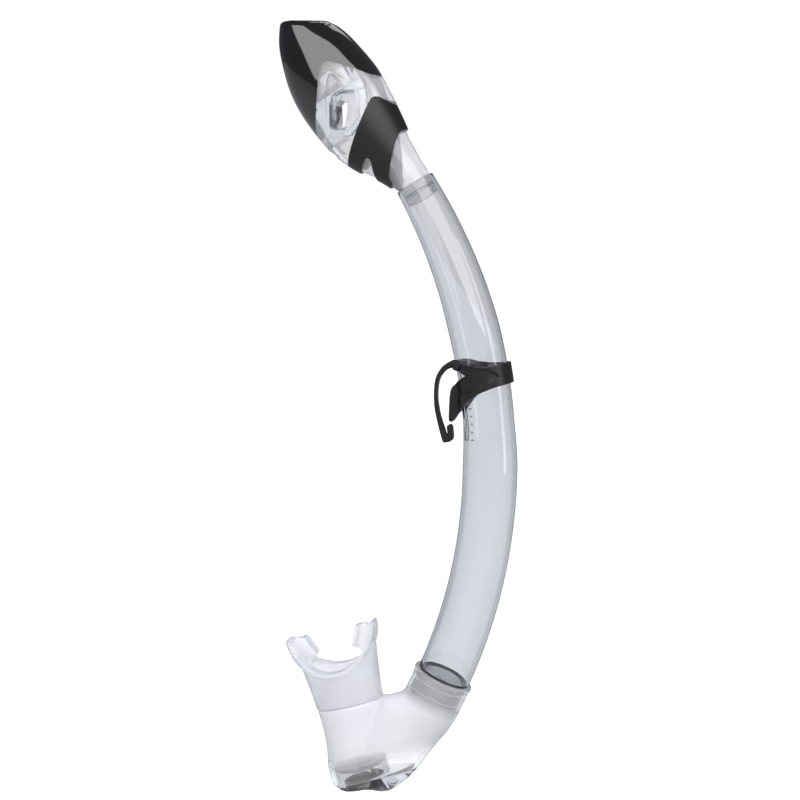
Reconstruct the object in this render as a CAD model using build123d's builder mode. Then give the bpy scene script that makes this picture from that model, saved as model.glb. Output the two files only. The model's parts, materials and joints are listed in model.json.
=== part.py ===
from build123d import *
import os
from math import cos, radians, sin

# Dry-top snorkel, drawn as it is worn.
# Origin: the centre of the bite.  +X: the bulging side of the barrel.  +Y: across the barrel.  +Z: up.
# All sizes are in millimetres and all angles in degrees.

os.makedirs("parts", exist_ok=True)

# ---------------------------------------------------------------- driving dimensions

# Barrel: a tapered tube whose middle line is one arc.
bend_radius = 306.6
bend_centre_x = -215.0
bend_centre_z = 108.3
socket_angle = -24.0          # where the barrel leaves its socket, measured round the bend
joint_angle = 31.0            # where the barrel meets the dry top
barrel_low_diameter = 31.2
barrel_keeper_diameter = 29.1
barrel_top_diameter = 22.7
barrel_wall = 1.6
barrel_end_radius = 15.0      # straight end that turns in the socket
barrel_end_length = 18.0
socket_face_gap = 0.3

# Keeper zone: a stretch of even diameter that the keeper slides along.
keeper_angle = 9.4
keeper_zone_half = 5.0
keeper_grip = 1.75
keeper_clearance = 0.35
hook_root = -17.4
hook_half_width = 4.0
tongue_half_width = 6.0

# Dry top.
cap_wall = 1.6
skin_gap = 0.12
chamber_wall = 1.4
cap_line_top = 84.7
tower_height = 84.0
float_floor = 65.4
web_half = 8.5
spigot_radius = 9.35
spigot_bore = 7.6
spigot_length = 10.0
cap_rear_height = 104.7
cap_front_height = 115.3
cap_round = 1.6
room_rear = 0.2
seal_groove = 1.0
recess_outline = [(-10.5, 65), (-3, 61.5), (-8.5, 54), (-17.5, 43.2), (-23.8, 43.2), (-24.8, 52), (-13.5, 65)]
slot_centre = (-15.8, 53.6)
slot_turn = 49.5
slot_length = 17.0
slot_width = 7.4
inlet_outline = [(-32.4, 66.5), (-25.8, 66.5), (-27, 35), (-32.4, 35)]
inlet_half_width = 9.0
drain_outline = [(-12, 36), (-12.2, 24), (-10.9, 14), (-30, 14), (-40, 30), (-27, 41.5), (-17.5, 41.5)]

# Float valve.
port_radius = 4.5
port_rim = 1.0
port_offset = -14.0
seat_thickness = 1.5
seat_rim_height = 2.9
seal_radius = 6.2
seal_thickness = 1.7
seal_gap = 0.2
pin_radius = 1.0
pin_clearance = 0.06
pin_offset = -3.0
pin_height = 79.5
float_droop = 9.0
float_height = 7.3
float_clearance = 1.2
lever_thickness = 1.2
lever_half_width = 4.0
lever_front = -27.0
eye_radius = 2.0
ear_gap = 0.4
ear_thickness = 1.8
float_rear = -8.0
float_half_width = 12.0
plate_clearance = 0.3
plate_lap = 0.9

# Mouth end.
mouth_tilt = 15.0
flange_radius = 27.2
flange_wall = 2.2
flange_centre_height = 10.0
flange_half_height = 17.5
sleeve_end = -36.0
sleeve_wall = 2.1
spigot_top = -24.5
neck_wall = 1.7
sleeve_fit = 0.05
tab_half_thickness = 1.9
lip_half_height = 4.6

# Purge chamber and purge valve.
chamber_skin = 2.3
socket_radius = 17.2
socket_clearance = 0.1
valve_offset = -3.4
valve_height = -72.0
seat_ring_radius = 15.9
seat_ring_height = 8.6
seat_plate_thickness = 1.5
membrane_radius = 12.8
membrane_thickness = 0.8
membrane_gap = 0.3
membrane_travel = 1.2
stem_radius = 1.6
stem_clearance = 0.06
cover_radius = 12.3
cover_thickness = 2.0
cover_slots = 6
chamber_bottom = -86.0

# ---------------------------------------------------------------- frames


def bend_point(angle):
    """A point on the barrel's middle line."""
    turn = radians(angle)
    return Vector(bend_centre_x + bend_radius * cos(turn), 0, bend_centre_z + bend_radius * sin(turn))


def outward(angle):
    """Direction away from the centre of the bend."""
    return Vector(cos(radians(angle)), 0, sin(radians(angle)))


def along(angle):
    """Direction up the barrel."""
    return Vector(-sin(radians(angle)), 0, cos(radians(angle)))


def section_plane(angle):
    """Plane across the barrel: x points outward, z points up the barrel."""
    return Plane(origin=bend_point(angle), x_dir=outward(angle), z_dir=along(angle))


def side_plane(origin, across):
    """Plane on the object's plane of symmetry: x is the given direction, y is square to it, upwards."""
    return Plane(origin=origin, x_dir=across, z_dir=(0, -1, 0))


bend_axis = Axis((bend_centre_x, 0, bend_centre_z), (0, 1, 0))

socket_plane = section_plane(socket_angle)
top_plane = section_plane(joint_angle)
top_side = side_plane(top_plane.origin, top_plane.x_dir)
keeper_plane = section_plane(keeper_angle)
keeper_side = side_plane(keeper_plane.origin, keeper_plane.x_dir)

mouth_x = Vector(cos(radians(mouth_tilt)), 0, sin(radians(mouth_tilt)))
mouth_z = Vector(-sin(radians(mouth_tilt)), 0, cos(radians(mouth_tilt)))
mouth_plane = Plane(origin=(0, 0, 0), x_dir=mouth_x, z_dir=mouth_z)
mouth_side = side_plane((0, 0, 0), mouth_x)

# The float valve is drawn shut and level, on planes turned down about its pin to the open position.
pin_point = top_plane.from_local_coords(Vector(pin_offset, 0, pin_height))
pin_line = Axis(pin_point, (0, 1, 0))


def drooped(vector):
    """Turn a direction from the shut position to the open one."""
    return vector.rotate(Axis.Y, -float_droop)


swung_origin = pin_point + drooped(top_plane.origin - pin_point)
swung_plane = Plane(origin=swung_origin, x_dir=drooped(top_plane.x_dir), z_dir=drooped(top_plane.z_dir))
swung_side = side_plane(swung_origin, swung_plane.x_dir)

# ---------------------------------------------------------------- barrel


def barrel_diameter(angle):
    """Even below the middle, even again where the keeper slides, and tapered above it."""
    zone_start = keeper_angle - keeper_zone_half
    zone_end = keeper_angle + keeper_zone_half
    if angle <= 0:
        return barrel_low_diameter
    if angle < zone_start:
        share = angle / zone_start
        return barrel_low_diameter + (barrel_keeper_diameter - barrel_low_diameter) * share
    if angle <= zone_end:
        return barrel_keeper_diameter
    share = (angle - zone_end) / (joint_angle - zone_end)
    return barrel_keeper_diameter + (barrel_top_diameter - barrel_keeper_diameter) * share


barrel_stations = [socket_angle, 0, keeper_angle - keeper_zone_half, keeper_angle + keeper_zone_half, joint_angle]


def barrel_body(inset):
    """The barrel's outer form, or its bore when an inset is given."""
    with BuildPart() as body:
        for low, high in zip(barrel_stations, barrel_stations[1:]):
            with BuildLine() as path:
                ThreePointArc(bend_point(low), bend_point((low + high) / 2), bend_point(high))
            ends = []
            for angle in (low, high):
                with BuildSketch(section_plane(angle)) as end:
                    Circle(barrel_diameter(angle) / 2 - inset)
                ends.append(end.sketch)
            sweep(sections=ends, path=path.line, multisection=True)
    return body.part


barrel_outer = barrel_body(0)
barrel_bore = barrel_body(barrel_wall)
ring_seal_section = 0.9
ring_seal_spots = (-5.2, -11.8)
groove_clearance = 0.05

with BuildPart() as barrel:
    add(barrel_outer)
    with BuildSketch(socket_plane.offset(socket_face_gap)):
        Circle(barrel_low_diameter)
    extrude(amount=-1.0, mode=Mode.SUBTRACT)
    with BuildSketch(socket_plane.offset(1.0)):
        Circle(barrel_end_radius)
    extrude(amount=-barrel_end_length - 1.0)
    for spot in ring_seal_spots:
        with BuildSketch(socket_plane.offset(spot)):
            Circle(barrel_end_radius + 1)
            Circle(barrel_end_radius - 2 * ring_seal_section, mode=Mode.SUBTRACT)
        extrude(amount=ring_seal_section + groove_clearance, both=True, mode=Mode.SUBTRACT)
    add(barrel_bore, mode=Mode.SUBTRACT)
    with BuildSketch(socket_plane.offset(1.0)):
        Circle(barrel_end_radius - 3.2)
    extrude(amount=-barrel_end_length - 2.0, mode=Mode.SUBTRACT)
barrel.part.label = "barrel"

with BuildPart() as socket_rings:
    for spot in ring_seal_spots:
        ring_centre = socket_plane.offset(spot).origin
        with BuildSketch(side_plane(ring_centre, socket_plane.x_dir)):
            with Locations((barrel_end_radius + 0.04 - ring_seal_section, 0)):
                Circle(ring_seal_section)
        revolve(axis=Axis(ring_centre, socket_plane.z_dir))
socket_rings.part.label = "socket_rings"

# ---------------------------------------------------------------- dry top

# Stations up the dry top: height, front edge, rear edge, half width.
top_stations = [
    (0, -barrel_top_diameter / 2, barrel_top_diameter / 2, barrel_top_diameter / 2),
    (10, -14, 11.4, 12.2),
    (22, -22.8, 11.6, 14.6),
    (35, -30, 13, 16.6),
    (50, -34.5, 14.2, 18),
    (66, -36.1, 14.6, 18.2),
    (80, -35.3, 12.5, 17.2),
    (94, -31.9, 9, 15),
    (107, -27, 2.6, 11.8),
    (118, -19.5, -3.4, 8),
]


def top_body(inset, frame=top_plane):
    """The dry top's closed outer form, drawn in by an inset, on a plane across the barrel's end."""
    with BuildPart() as body:
        for height, front, rear, half_width in top_stations:
            with BuildSketch(frame.offset(height)):
                with Locations(((front + rear) / 2, 0)):
                    Ellipse((rear - front) / 2 - inset, half_width - inset)
        loft()
    return body.part


skin_form = top_body(0)
core_form = top_body(cap_wall)
cap_inner_form = top_body(cap_wall - skin_gap)
float_room_form = top_body(cap_wall + chamber_wall)
depth = 40.0

# Side outlines of the three outer shells.  The cap's lower edge is a V, cut up over the clear body.
cap_line = [(20, 60), (13.7, 61.6), (-6.5, cap_line_top - 3.4), (-9.5, cap_line_top - 4.4), (-34, 53.5), (-42, 53.5)]
collar_line = [(20, 42), (11, 45), (5.4, 52.5), (-6, 47), (-22.7, 35), (-32, 30)]
collar_low_line = [(20, 29), (11.2, 29), (-8.5, 5.4), (-14.2, 5.0), (-16.6, 21.2), (-19.5, 22.8), (-25, 21), (-32, 24)]

cap_slope = (cap_front_height - cap_rear_height) / (-21 - 3.3)


def above_cap(drop):
    """Side outline of everything above the cap's slanted top, lowered by a drop."""
    return [
        (30, cap_rear_height - drop + cap_slope * 26.7),
        (-50, cap_rear_height - drop - cap_slope * 53.3),
        (-50, 140),
        (30, 140),
    ]


with BuildPart() as cap_hollow:
    add(cap_inner_form)
    with BuildSketch(top_side):
        Polygon(*above_cap(cap_wall + 0.4), align=None)
    extrude(amount=depth, both=True, mode=Mode.SUBTRACT)

with BuildPart() as top_cap:
    add(skin_form)
    with BuildSketch(top_side):
        Polygon(*cap_line, (-42, 125), (20, 125), align=None)
    extrude(amount=depth, both=True, mode=Mode.INTERSECT)
    with BuildSketch(top_side):
        Polygon(*above_cap(0), align=None)
    extrude(amount=depth, both=True, mode=Mode.SUBTRACT)
    crown = top_cap.faces().sort_by(Axis(top_plane.origin, top_plane.z_dir))[-1]
    fillet(crown.edges(), radius=cap_round)
    add(cap_hollow.part, mode=Mode.SUBTRACT)
top_cap.part.label = "top_cap"

with BuildPart() as splash_collar:
    add(skin_form)
    with BuildSketch(top_side):
        Polygon(*collar_line, *reversed(collar_low_line), align=None)
    extrude(amount=depth, both=True, mode=Mode.INTERSECT)
    add(cap_inner_form, mode=Mode.SUBTRACT)
splash_collar.part.label = "splash_collar"

# The clear housing: flush with the cap and the collar between them, and one wall lower under both.
duct_stations = [
    (-0.5, 0, spigot_bore, spigot_bore),
    (12, -0.4, 8.2, 8.6),
    (28, -1.2, 9.2, 10.8),
    (44, 2.6, 7.6, 11.8),
    (60, 6.6, 4.6, 11.4),
    (72, 6.6, 4.3, 11),
    (tower_height + 1, 5.2, 4.2, 10),
]

with BuildPart() as duct:
    for height, centre, half_length, half_width in duct_stations:
        with BuildSketch(top_plane.offset(height)):
            with Locations((centre, 0)):
                Ellipse(half_length, half_width)
    loft()

with BuildPart() as flush_skin:
    add(skin_form)
    with BuildSketch(top_side):
        Polygon(*cap_line, *reversed(collar_line), align=None)
    extrude(amount=depth, both=True, mode=Mode.INTERSECT)

with BuildPart() as float_room:
    add(float_room_form)
    with BuildSketch(top_side):
        with Locations((-40, float_floor)):
            Rectangle(40 + room_rear, tower_height - float_floor + 5, align=Align.MIN)
    extrude(amount=depth, both=True, mode=Mode.INTERSECT)

with BuildPart() as drain_room:
    add(float_room_form)
    with BuildSketch(top_side):
        Polygon(*drain_outline, align=None)
    extrude(amount=depth, both=True, mode=Mode.INTERSECT)

with BuildPart() as vent_housing:
    add(core_form)
    split(bisect_by=top_plane.offset(tower_height), keep=Keep.BOTTOM)
    add(flush_skin.part)
    with BuildSketch(top_plane.offset(0.2)):
        Circle(spigot_radius)
    extrude(amount=-spigot_length - 0.2)
    add(float_room.part, mode=Mode.SUBTRACT)
    add(drain_room.part, mode=Mode.SUBTRACT)
    add(duct.part, mode=Mode.SUBTRACT)
    with BuildSketch(top_plane.offset(1)):
        Circle(spigot_bore)
    extrude(amount=-spigot_length - 2, mode=Mode.SUBTRACT)
    with BuildSketch(top_plane.offset(-spigot_length / 2)):
        Circle(spigot_radius + 1)
        Circle(spigot_radius - seal_groove, mode=Mode.SUBTRACT)
    extrude(amount=seal_groove / 2 + groove_clearance, both=True, mode=Mode.SUBTRACT)
    for side in (-1, 1):
        with BuildSketch(top_side.offset(side * web_half)):
            Polygon(*recess_outline, align=None)
        extrude(amount=side * depth, mode=Mode.SUBTRACT)
    with BuildSketch(top_side):
        with Locations(Location(slot_centre, slot_turn)):
            SlotOverall(slot_length, slot_width)
    extrude(amount=depth, both=True, mode=Mode.SUBTRACT)
    with BuildSketch(top_side):
        Polygon(*inlet_outline, align=None)
    extrude(amount=inlet_half_width, both=True, mode=Mode.SUBTRACT)
    for side in (-1, 1):
        with BuildSketch(top_side.offset(side * (lever_half_width + ear_gap))):
            with BuildLine():
                Polyline((room_rear + 0.6, pin_height - 3.4), (pin_offset, pin_height - 2.2))
                ThreePointArc(
                    (pin_offset, pin_height - 2.2), (pin_offset - 2.2, pin_height), (pin_offset, pin_height + 2.2)
                )
                Polyline(
                    (pin_offset, pin_height + 2.2), (room_rear + 0.6, pin_height + 2.2),
                    (room_rear + 0.6, pin_height - 3.4)
                )
            make_face()
            with Locations((pin_offset, pin_height)):
                Circle(pin_radius, mode=Mode.SUBTRACT)
        extrude(amount=side * ear_thickness)
vent_housing.part.label = "vent_housing"

with BuildPart() as dry_top_oring:
    oring_centre = top_plane.offset(-spigot_length / 2).origin
    with BuildSketch(side_plane(oring_centre, top_plane.x_dir)):
        with Locations((spigot_radius + 0.02 - seal_groove / 2, 0)):
            Circle(seal_groove / 2)
    revolve(axis=Axis(oring_centre, top_plane.z_dir))
dry_top_oring.part.label = "dry_top_oring"

with BuildPart() as lever_pin:
    with BuildSketch(top_side):
        with Locations((pin_offset, pin_height)):
            Circle(pin_radius)
    extrude(amount=lever_half_width + ear_gap + ear_thickness, both=True)
lever_pin.part.label = "lever_pin"

# A plate closes the float room; its port is the only way from the room to the space under the cap.
with BuildPart() as port_plate:
    add(top_body(cap_wall + plate_clearance))
    split(bisect_by=top_plane.offset(tower_height + seat_thickness), keep=Keep.BOTTOM)
    split(bisect_by=top_plane.offset(tower_height), keep=Keep.TOP)
    with BuildSketch(top_plane.offset(tower_height)):
        with Locations((port_offset, 0)):
            Circle(port_radius + port_rim)
    extrude(amount=-seat_rim_height)
    with BuildSketch(top_plane.offset(tower_height + 5)):
        with Locations((port_offset, 0)):
            Circle(port_radius)
        with Locations((room_rear + plate_lap, 0)):
            Rectangle(depth, 2 * depth, align=(Align.MIN, Align.CENTER))
    extrude(amount=-15, mode=Mode.SUBTRACT)
port_plate.part.label = "port_plate"

# ---------------------------------------------------------------- float valve, drawn on the drooped planes

seal_top = tower_height - seat_rim_height - seal_gap
lever_low = seal_top - seal_thickness - lever_thickness

with BuildPart() as vent_float:
    add(top_body(cap_wall + chamber_wall + float_clearance, swung_plane))
    with BuildSketch(swung_side):
        with Locations((-40, lever_low - float_height)):
            Rectangle(40 + float_rear, float_height, align=Align.MIN)
    extrude(amount=float_half_width, both=True, mode=Mode.INTERSECT)
vent_float.part.label = "vent_float"

with BuildPart() as float_lever:
    with BuildSketch(swung_side):
        with Locations((lever_front, lever_low)):
            Rectangle(pin_offset - lever_front, lever_thickness, align=Align.MIN)
        with Locations((pin_offset, pin_height)):
            Circle(eye_radius)
    extrude(amount=lever_half_width, both=True)
    with BuildSketch(swung_side):
        with Locations((pin_offset, pin_height)):
            Circle(pin_radius + pin_clearance)
    extrude(amount=lever_half_width, both=True, mode=Mode.SUBTRACT)
float_lever.part.label = "float_lever"

with BuildPart() as valve_seal:
    with BuildSketch(swung_plane.offset(seal_top)):
        with Locations((port_offset, 0)):
            Circle(seal_radius)
    extrude(amount=-seal_thickness)
valve_seal.part.label = "valve_seal"

# ---------------------------------------------------------------- keeper

keeper_bore_radius = barrel_keeper_diameter / 2 + keeper_clearance
keeper_outer_radius = keeper_bore_radius + keeper_grip


def keeper_ring(radius):
    """A stretch of curved rod round the barrel's middle line, past both ends of the keeper."""
    with BuildPart() as ring:
        with BuildSketch(section_plane(keeper_angle - 6)):
            Circle(radius)
        revolve(axis=bend_axis, revolution_arc=-10)
    return ring.part


with BuildPart() as keeper_band:
    add(keeper_ring(keeper_outer_radius))
    with BuildSketch(keeper_side):
        with BuildLine():
            Polyline((20, -6), (20, 5.8), (4.3, 7.2))
            Spline((4.3, 7.2), (-3.8, 9.8), (-11, 11.4), (hook_root, 11.4))
            Polyline((hook_root, 11.4), (hook_root, 6.6), (-12, 5), (-8, 2), (-12.5, 0), (-21, -6), (-21, -23))
            Spline((-21, -23), (-14.8, -17.3), (-6.9, -11), (7, -6.9), (20, -6))
        make_face()
    extrude(amount=depth, both=True, mode=Mode.INTERSECT)
    with BuildSketch(keeper_side):
        with BuildLine():
            Spline((-13, -1), (-18.4, -3.4), (-20.8, -8.3), (-23.6, -19.7), (-23.9, -22.4))
            Polyline((-23.9, -22.4), (-23, -23.3), (-21, -23.2))
            Spline((-21, -23.2), (-17.6, -19.6), (-14, -15.6))
            Line((-14, -15.6), (-13, -1))
        make_face()
    extrude(amount=tongue_half_width, both=True)
    add(keeper_ring(keeper_bore_radius), mode=Mode.SUBTRACT)
keeper_band.part.label = "keeper_band"

with BuildPart() as keeper_hook:
    with BuildSketch(keeper_side):
        with BuildLine():
            Spline((hook_root, 11.4), (-23, 8.4), (-28.2, 1), (-31, -12), (-30.6, -24), (-29.2, -33.8))
            Polyline((-29.2, -33.8), (-28.4, -34.6), (-24.8, -34.6))
            ThreePointArc((-24.8, -34.6), (-23.2, -33.9), (-22.6, -32.2))
            Line((-22.6, -32.2), (-22.3, -26.2))
            ThreePointArc((-22.3, -26.2), (-23.8, -24.9), (-25.2, -26.2))
            Polyline((-25.2, -26.2), (-25.2, -30.4), (-26.4, -30.4), (-27.4, -25))
            Spline((-27.4, -25), (-28.3, -18), (-28, -8), (-25.4, 1), (-20.8, 5.8), (hook_root, 6.8))
            Line((hook_root, 6.8), (hook_root, 11.4))
        make_face()
    extrude(amount=hook_half_width, both=True)
keeper_hook.part.label = "keeper_hook"

# ---------------------------------------------------------------- mouthpiece

neck_half_length = 20.2
neck_half_width = 14.2
spigot_half_length = neck_half_length - sleeve_wall
spigot_half_width = neck_half_width - sleeve_wall


def mouth_loft(stations):
    """A form lofted through ellipses across the mouth axis: height, centre, half length, half width."""
    with BuildPart() as body:
        for height, centre, half_length, half_width in stations:
            with BuildSketch(mouth_plane.offset(height)):
                with Locations((centre, 0)):
                    Ellipse(half_length, half_width)
        loft()
    return body.part


neck_form = mouth_loft([
    (sleeve_end, 0, neck_half_length, neck_half_width),
    (-24, 0.2, 21.4, 13.6),
    (-14, 0.3, 22.8, 13.4),
    (-4, 0.3, 24.4, 13.4),
])
flange_inner_radius = flange_radius - flange_wall
bore_half_length = spigot_half_length - neck_wall
bore_half_width = spigot_half_width - neck_wall

with BuildPart() as mouthpiece:
    add(neck_form)
    with BuildSketch(mouth_side):
        with Locations((0, flange_centre_height)):
            Circle(flange_inner_radius + flange_wall / 2)
    extrude(amount=depth, both=True, mode=Mode.SUBTRACT)
    with BuildSketch(mouth_side):
        with Locations((0, flange_centre_height)):
            Circle(flange_radius)
            Circle(flange_inner_radius, mode=Mode.SUBTRACT)
        with Locations((0, flange_centre_height + depth / 2)):
            Rectangle(3 * flange_radius, depth, mode=Mode.SUBTRACT)
    extrude(amount=flange_half_height, both=True)
    with BuildSketch(mouth_plane.offset(sleeve_end - 1)):
        Ellipse(flange_radius + 1.6, flange_half_height)
    extrude(amount=60, mode=Mode.INTERSECT)
    with BuildSketch(mouth_plane.offset(sleeve_end)):
        Ellipse(spigot_half_length, spigot_half_width)
    extrude(amount=spigot_top - sleeve_end, mode=Mode.SUBTRACT)
    with BuildSketch(mouth_plane.offset(spigot_top - 0.1)):
        Ellipse(bore_half_length, bore_half_width)
    extrude(amount=depth, mode=Mode.SUBTRACT)
    with BuildSketch(mouth_side):
        for side in (-1, 1):
            Polygon(
                (side * 25.2, 3), (side * 21.5, 7.5), (side * 15.6, 7.2), (side * 11, -3.4),
                (side * 17.8, -9.6), (side * 21, -6), align=None
            )
    extrude(amount=tab_half_thickness, both=True)
    with BuildSketch(mouth_side):
        for side in (-1, 1):
            Polygon(
                (side * 17.8, 7.3), (side * 15.6, 7.2), (side * 11, -3.4), (side * 12.6, -4.9), align=None
            )
    extrude(amount=lip_half_height, both=True)
mouthpiece.part.label = "mouthpiece"

# ---------------------------------------------------------------- purge chamber


def column_form(inset):
    """The leg under the mouthpiece, down to the purge valve."""
    return mouth_loft([
        (sleeve_end, 0, neck_half_length - inset, neck_half_width - inset),
        (-48, -0.8, 18.8 - inset, 15.2 - inset),
        (-60, -2.2, 18.2 - inset, 16.8 - inset),
        (-70, valve_offset, 18.9 - inset, 18.5 - inset),
        (-79, valve_offset, 18.9 - inset, 18.6 - inset),
        (chamber_bottom, valve_offset, 15 - inset, 14.8 - inset),
    ])


# The leg to the barrel: centre (x, z), direction across the leg (x, z), half length, half width.
socket_low = socket_plane.offset(-barrel_end_length)
leg_stations = [
    (socket_low.origin, socket_low.x_dir, socket_radius, socket_radius),
    (Vector(43.6, 0, -45.4), Vector(0.78, 0, -0.62), 21.0, 16.6),
    (Vector(28.6, 0, -66.6), Vector(0.92, 0, -0.39), 20.8, 16.8),
    (Vector(23.5, 0, -79.2), Vector(0.995, 0, -0.1), 18, 14.6),
    (Vector(20.5, 0, -85.6), Vector(0.995, 0, -0.1), 13, 9),
]


def leg_form(inset):
    """The leg from the socket down to the sump, beside the purge valve."""
    with BuildPart() as body:
        with BuildSketch(socket_plane):
            Circle(socket_radius - inset)
        extrude(amount=-barrel_end_length)
        for centre, across, half_length, half_width in leg_stations:
            upward = Vector(-across.Z, 0, across.X)
            with BuildSketch(Plane(origin=centre, x_dir=across, z_dir=upward)):
                Ellipse(half_length - inset, half_width - inset)
        loft()
    return body.part


with BuildPart() as chamber_hollow:
    add(column_form(chamber_skin))
    add(leg_form(chamber_skin))
    split(bisect_by=mouth_plane.offset(valve_height - seat_ring_height), keep=Keep.TOP)

valve_spot = mouth_plane.from_local_coords(Vector(valve_offset, 0, 0))
valve_plane = Plane(origin=valve_spot, x_dir=mouth_x, z_dir=mouth_z)
ledge_height = valve_height - seat_ring_height

with BuildPart() as purge_chamber:
    add(column_form(0))
    add(leg_form(0))
    with BuildSketch(mouth_plane.offset(sleeve_end - 0.2)):
        Ellipse(spigot_half_length - sleeve_fit, spigot_half_width - sleeve_fit)
    extrude(amount=spigot_top - sleeve_end + 0.1)
    with BuildSketch(valve_plane.offset(ledge_height)):
        Circle(seat_ring_radius + chamber_skin)
    extrude(amount=seat_ring_height + 1)
    add(chamber_hollow.part, mode=Mode.SUBTRACT)
    with BuildSketch(mouth_plane.offset(sleeve_end - 1)):
        Ellipse(bore_half_length, bore_half_width)
    extrude(amount=depth, mode=Mode.SUBTRACT)
    with BuildSketch(valve_plane.offset(ledge_height)):
        Circle(seat_ring_radius)
    extrude(amount=seat_ring_height + 6, mode=Mode.SUBTRACT)
    with BuildSketch(valve_plane.offset(ledge_height + 1)):
        Circle(cover_radius)
    extrude(amount=-12, mode=Mode.SUBTRACT)
    with BuildSketch(socket_plane.offset(1)):
        Circle(barrel_end_radius + socket_clearance)
    extrude(amount=-barrel_end_length - 1.4, mode=Mode.SUBTRACT)
purge_chamber.part.label = "purge_chamber"

# ---------------------------------------------------------------- purge valve

seat_ring_inner = seat_ring_radius - 1.6
spoke_width = 2.2
hub_radius = 4.0

with BuildPart() as purge_seat:
    with BuildSketch(valve_plane.offset(ledge_height)):
        Circle(seat_ring_radius)
        Circle(seat_ring_inner, mode=Mode.SUBTRACT)
    extrude(amount=seat_ring_height)
    with BuildSketch(valve_plane.offset(valve_height)):
        Circle(seat_ring_radius)
        Circle(membrane_radius - 1.8, mode=Mode.SUBTRACT)
        Circle(hub_radius)
        for turn in (90, 210, 330):
            with Locations(Location((0, 0), turn)):
                with Locations((membrane_radius / 2, 0)):
                    Rectangle(membrane_radius, spoke_width)
        Circle(stem_radius + stem_clearance, mode=Mode.SUBTRACT)
    extrude(amount=-seat_plate_thickness)
purge_seat.part.label = "purge_seat"

membrane_top = valve_height - seat_plate_thickness - membrane_gap

with BuildPart() as purge_membrane:
    with BuildSketch(valve_plane.offset(membrane_top)):
        Circle(membrane_radius)
    extrude(amount=-membrane_thickness)
    with BuildSketch(valve_plane.offset(membrane_top)):
        Circle(stem_radius)
    extrude(amount=membrane_gap + seat_plate_thickness + membrane_travel + 0.4)
    with BuildSketch(valve_plane.offset(valve_height + membrane_travel + 0.4)):
        Circle(stem_radius + 0.9)
    extrude(amount=1.6, taper=30)
purge_membrane.part.label = "purge_membrane"

with BuildPart() as purge_cover:
    with BuildSketch(valve_plane.offset(ledge_height - 3.0)):
        Circle(cover_radius - 0.1)
    extrude(amount=-cover_thickness)
    with BuildSketch(valve_plane.offset(ledge_height - 3.0)):
        Circle(cover_radius - 0.1)
        Circle(cover_radius - 1.6, mode=Mode.SUBTRACT)
    extrude(amount=3.2)
    with BuildSketch(valve_plane.offset(ledge_height)):
        with PolarLocations((cover_radius + 2.6) / 2, cover_slots):
            SlotOverall(5.6, 2.0)
    extrude(amount=-12, mode=Mode.SUBTRACT)
purge_cover.part.label = "purge_cover"

# ---------------------------------------------------------------- export

for piece in (
    barrel, socket_rings, vent_housing, top_cap, splash_collar, dry_top_oring, port_plate, lever_pin,
    vent_float, float_lever, valve_seal, keeper_band, keeper_hook, mouthpiece, purge_chamber,
    purge_seat, purge_membrane, purge_cover,
):
    export_step(piece.part, f"parts/{piece.part.label}.step")
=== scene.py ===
import json
from math import atan2, copysign, cos, pi, radians, sin
from types import SimpleNamespace

import bmesh
import bpy
from mathutils import Matrix, Vector


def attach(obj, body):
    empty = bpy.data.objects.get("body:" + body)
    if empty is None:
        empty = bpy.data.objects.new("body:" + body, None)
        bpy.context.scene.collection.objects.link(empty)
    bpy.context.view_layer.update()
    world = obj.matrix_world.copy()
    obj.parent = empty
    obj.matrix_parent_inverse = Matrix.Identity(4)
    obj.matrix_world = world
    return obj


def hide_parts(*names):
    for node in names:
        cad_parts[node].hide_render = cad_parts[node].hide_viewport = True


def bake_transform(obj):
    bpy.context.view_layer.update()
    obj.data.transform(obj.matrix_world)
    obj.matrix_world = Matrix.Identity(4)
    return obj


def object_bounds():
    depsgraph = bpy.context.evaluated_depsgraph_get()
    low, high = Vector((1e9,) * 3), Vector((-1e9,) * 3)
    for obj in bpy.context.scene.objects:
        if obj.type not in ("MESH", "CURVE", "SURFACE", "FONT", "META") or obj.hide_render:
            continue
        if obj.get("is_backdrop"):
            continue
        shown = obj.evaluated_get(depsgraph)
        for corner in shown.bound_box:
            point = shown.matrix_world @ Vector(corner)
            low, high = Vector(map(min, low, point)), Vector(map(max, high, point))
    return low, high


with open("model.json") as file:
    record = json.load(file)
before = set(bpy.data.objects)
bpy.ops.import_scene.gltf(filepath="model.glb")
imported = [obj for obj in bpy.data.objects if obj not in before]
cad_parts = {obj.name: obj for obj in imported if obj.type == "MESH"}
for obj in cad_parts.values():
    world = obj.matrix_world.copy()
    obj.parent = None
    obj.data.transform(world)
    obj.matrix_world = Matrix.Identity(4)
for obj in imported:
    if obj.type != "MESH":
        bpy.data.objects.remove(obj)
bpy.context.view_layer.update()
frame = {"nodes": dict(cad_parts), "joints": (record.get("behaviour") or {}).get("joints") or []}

bl_info = {
    "name": "Dry-top Snorkel",
    "version": (1, 0, 0),
    "blender": (4, 5, 0),
    "location": "View3D > Sidebar > Snorkel",
    "description": "Models a clear dry-top snorkel around its construction frame",
    "category": "Add Mesh",
}

MM = 0.001

# ---------------------------------------------------------------- places taken from the frame

JOINTS = {joint["name"]: joint for joint in frame["joints"]}
BEND_CENTRE = Vector(JOINTS["keeper_slide"]["pos_m"])
SOCKET = Vector(JOINTS["barrel_swivel"]["pos_m"])
SOCKET_AXIS = Vector(JOINTS["barrel_swivel"]["axis"])
MOUTH_AXIS = -Vector(JOINTS["membrane_lift"]["axis"])
BEND_RADIUS = (SOCKET - BEND_CENTRE).length
# Angles round the bend, in degrees: the barrel's two ends, and the two edges of the keeper's band.
BARREL_LOW, BARREL_TOP = -24.0, 31.0
BAND_LOW, BAND_HIGH = 4.4, 14.4
ACROSS = Vector((0, 1, 0))


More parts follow.
